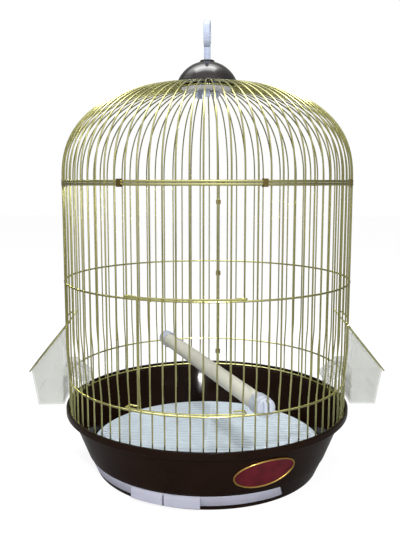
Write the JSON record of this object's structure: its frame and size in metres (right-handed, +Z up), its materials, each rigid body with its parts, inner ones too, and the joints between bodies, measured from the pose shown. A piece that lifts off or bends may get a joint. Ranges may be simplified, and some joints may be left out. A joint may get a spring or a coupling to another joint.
{
  "type": "cylindrical bird cage",
  "caption": "Round wire bird cage with a domed top, sliding front door, outside seed feeders with wire flaps, perch, droppings drawer and hanging hook.",
  "frame": {"origin": "middle of the base tray's flat underside, on the ground", "axes": "+Z up along the cage's axis; -Y faces the front, where the door is; +X is to the right seen from the front"},
  "size_m": [0.4184, 0.3373, 0.5191],
  "materials": {
    "brown_plastic": "glossy dark chocolate brown, moulded",
    "grille_plastic": "pale bluish white, moulded",
    "badge_enamel": "plain maroon oval with a gold rim",
    "drawer_plastic": "pale lilac grey, smooth",
    "gold_wire": "bright brass-plated round wire",
    "clip_steel": "dull brass-coloured folded sheet",
    "clear_plastic": "clear, smooth",
    "perch_plastic": "ivory, satin",
    "perch_clip_plastic": "white, satin",
    "cap_plastic": "glossy brown, moulded",
    "cup_plastic": "light grey, satin",
    "hook_plastic": "bluish white, moulded"
  },
  "bodies": {
    "base": {"base_tray": "brown_plastic", "oval_badge": "badge_enamel"},
    "grille": {"floor_grille": "grille_plastic"},
    "drawer": {"droppings_drawer": "drawer_plastic"},
    "cage": {"wall_front_right": "gold_wire", "wall_right_front": "gold_wire", "wall_right_back": "gold_wire", "wall_back_right": "gold_wire", "wall_back_left": "gold_wire", "wall_left_back": "gold_wire", "wall_left_front": "gold_wire", "wall_front_left": "gold_wire", "wall_over_door": "gold_wire", "wall_under_door": "gold_wire", "wall_over_right_feeder": "gold_wire", "wall_under_right_feeder": "gold_wire", "wall_over_left_feeder": "gold_wire", "wall_under_left_feeder": "gold_wire", "dome_front": "gold_wire", "dome_front_right": "gold_wire", "dome_right_front": "gold_wire", "dome_right": "gold_wire", "dome_right_back": "gold_wire", "dome_back_right": "gold_wire", "dome_back": "gold_wire", "dome_back_left": "gold_wire", "dome_left_back": "gold_wire", "dome_left": "gold_wire", "dome_left_front": "gold_wire", "dome_front_left": "gold_wire", "dome_hub_ring": "gold_wire", "dome_clip_1": "clip_steel", "dome_clip_2": "clip_steel", "dome_clip_3": "clip_steel", "dome_clip_4": "clip_steel", "dome_clip_5": "clip_steel", "dome_clip_6": "clip_steel", "dome_clip_7": "clip_steel", "seam_clip_1": "clip_steel", "seam_clip_2": "clip_steel", "seam_clip_3": "clip_steel", "seed_feeder_right": "clear_plastic", "seed_feeder_left": "clear_plastic", "perch_rod": "perch_plastic", "perch_clip_front": "perch_clip_plastic", "perch_clip_back": "perch_clip_plastic", "top_cap": "cap_plastic", "hub_cup": "cup_plastic"},
    "door": {"guillotine_door": "gold_wire"},
    "flap_right": {"feeder_flap_right": "gold_wire"},
    "flap_left": {"feeder_flap_left": "gold_wire"},
    "hook": {"hanging_hook": "hook_plastic"}
  },
  "joints": [
    {"name": "cage_lift", "type": "slide", "parent": "base", "child": "cage", "axis": [0, 0, 1], "range_m": [0, 0.1]},
    {"name": "grille_lift", "type": "slide", "parent": "base", "child": "grille", "axis": [0, 0, 1], "range_m": [0, 0.078]},
    {"name": "drawer_slide", "type": "slide", "parent": "base", "child": "drawer", "axis": [-0.2622, -0.965, 0], "range_m": [0, 0.2]},
    {"name": "door_lift", "type": "slide", "parent": "cage", "child": "door", "axis": [0, 0, 1], "range_m": [0, 0.1]},
    {"name": "flap_hinge_right", "type": "hinge", "parent": "cage", "child": "flap_right", "pos_m": [0.16129, 0.00634, 0.1754], "axis": [0.0393, -0.9992, 0], "range_deg": [0, 75]},
    {"name": "flap_hinge_left", "type": "hinge", "parent": "cage", "child": "flap_left", "pos_m": [-0.16029, -0.01897, 0.1754], "axis": [-0.1175, 0.9931, 0], "range_deg": [0, 75]},
    {"name": "hook_swivel", "type": "hinge", "parent": "cage", "child": "hook", "pos_m": [0, 0, 0.475], "axis": [0, 0, 1], "continuous": true}
  ]
}
